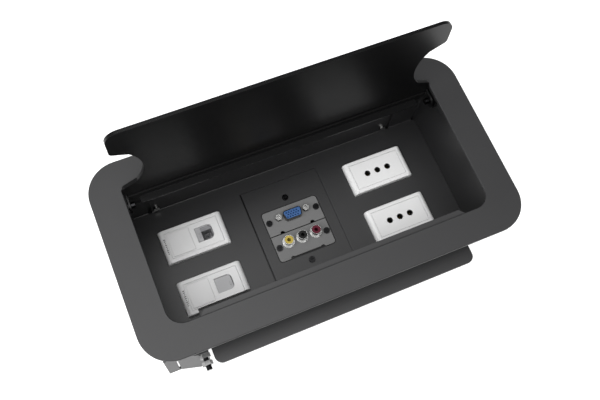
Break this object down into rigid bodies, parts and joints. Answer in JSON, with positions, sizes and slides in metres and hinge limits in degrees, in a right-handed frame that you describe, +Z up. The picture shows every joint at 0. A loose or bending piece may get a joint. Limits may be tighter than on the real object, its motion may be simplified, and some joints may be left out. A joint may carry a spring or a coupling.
{
  "type": "countertop socket box",
  "caption": "Drop-in worktop box with a hinged lid over a well of power, data, video and phono sockets, held by clamp bars.",
  "frame": {"origin": "centre of the top frame's plan, on the worktop's surface, at the frame's underside", "axes": "+X along the box from the data sockets to the power sockets, +Y towards the hinge, +Z up out of the worktop"},
  "size_m": [0.3, 0.1814, 0.2016],
  "materials": {
    "frame_paint": "satin grey powder coat",
    "lid_paint": "dark satin coat",
    "panel_paint": "satin grey powder coat",
    "bracket_grey": "light grey satin coat",
    "zinc": "bright zinc plate",
    "black_screw": "black oxide",
    "white_plastic": "glossy white moulding",
    "grey_plastic": "matt grey moulding",
    "dark_plastic": "matt dark moulding",
    "blue_plastic": "matt blue moulding",
    "yellow_plastic": "matt yellow moulding",
    "black_plastic": "matt black moulding",
    "red_plastic": "matt red moulding",
    "brass": "bright brass",
    "rubber": "matt black rubber"
  },
  "bodies": {
    "housing": {"top_frame": "frame_paint", "lid_ledge": "frame_paint", "housing_shell": "panel_paint", "socket_panel": "panel_paint", "wall_screws": "zinc", "bottom_cover": "panel_paint", "cable_grommets": "rubber", "cover_screws": "zinc", "power_frame_rear": "white_plastic", "power_insert_rear": "white_plastic", "power_contacts_rear": "brass", "data_frame_rear": "white_plastic", "data_insert_rear": "white_plastic", "label_cover_rear": "white_plastic", "data_jack_rear": "dark_plastic", "power_frame_front": "white_plastic", "power_insert_front": "white_plastic", "power_contacts_front": "brass", "data_frame_front": "white_plastic", "data_insert_front": "white_plastic", "label_cover_front": "white_plastic", "data_jack_front": "dark_plastic", "backing_frame": "lid_paint", "media_plate": "panel_paint", "media_screws": "black_screw", "bracket_screws": "black_screw", "video_bracket": "bracket_grey", "video_shell": "zinc", "video_insert": "blue_plastic", "jackscrews": "zinc", "phono_bracket": "bracket_grey", "phono_barrel_yellow": "zinc", "phono_jack_yellow": "yellow_plastic", "phono_barrel_black": "zinc", "phono_jack_black": "black_plastic", "phono_barrel_red": "zinc", "phono_jack_red": "red_plastic", "hinge_bracket_left": "lid_paint", "hinge_bracket_right": "lid_paint", "pivot_screws": "black_screw", "pivot_washers": "black_screw", "pivot_nuts": "black_screw", "clamp_screws": "zinc", "clamp_washers": "zinc", "clamp_nuts": "zinc", "stop_channel_front": "frame_paint", "stop_channel_rear": "frame_paint", "stop_screws": "black_screw", "stop_nuts": "zinc"},
    "lid": {"lid_panel": "lid_paint", "hinge_channel": "lid_paint"},
    "clamp_front": {"clamp_bar_front": "frame_paint"},
    "clamp_rear": {"clamp_bar_rear": "frame_paint"},
    "shutter_rear": {"data_shutter_rear": "grey_plastic"},
    "shutter_front": {"data_shutter_front": "grey_plastic"}
  },
  "joints": [
    {"name": "lid_hinge", "type": "hinge", "parent": "housing", "child": "lid", "pos_m": [0, 0.0437, -0.0073], "axis": [1, 0, 0], "range_deg": [0, 92]},
    {"name": "front_clamp_slide", "type": "slide", "parent": "housing", "child": "clamp_front", "axis": [0, 0, 1], "range_m": [-0.018, 0.014]},
    {"name": "rear_clamp_slide", "type": "slide", "parent": "housing", "child": "clamp_rear", "axis": [0, 0, 1], "range_m": [-0.018, 0.014]},
    {"name": "rear_shutter_slide", "type": "slide", "parent": "housing", "child": "shutter_rear", "axis": [1, 0, 0], "range_m": [-0.0024, 0.0107]},
    {"name": "front_shutter_slide", "type": "slide", "parent": "housing", "child": "shutter_front", "axis": [1, 0, 0], "range_m": [-0.0113, 0.0018]}
  ]
}
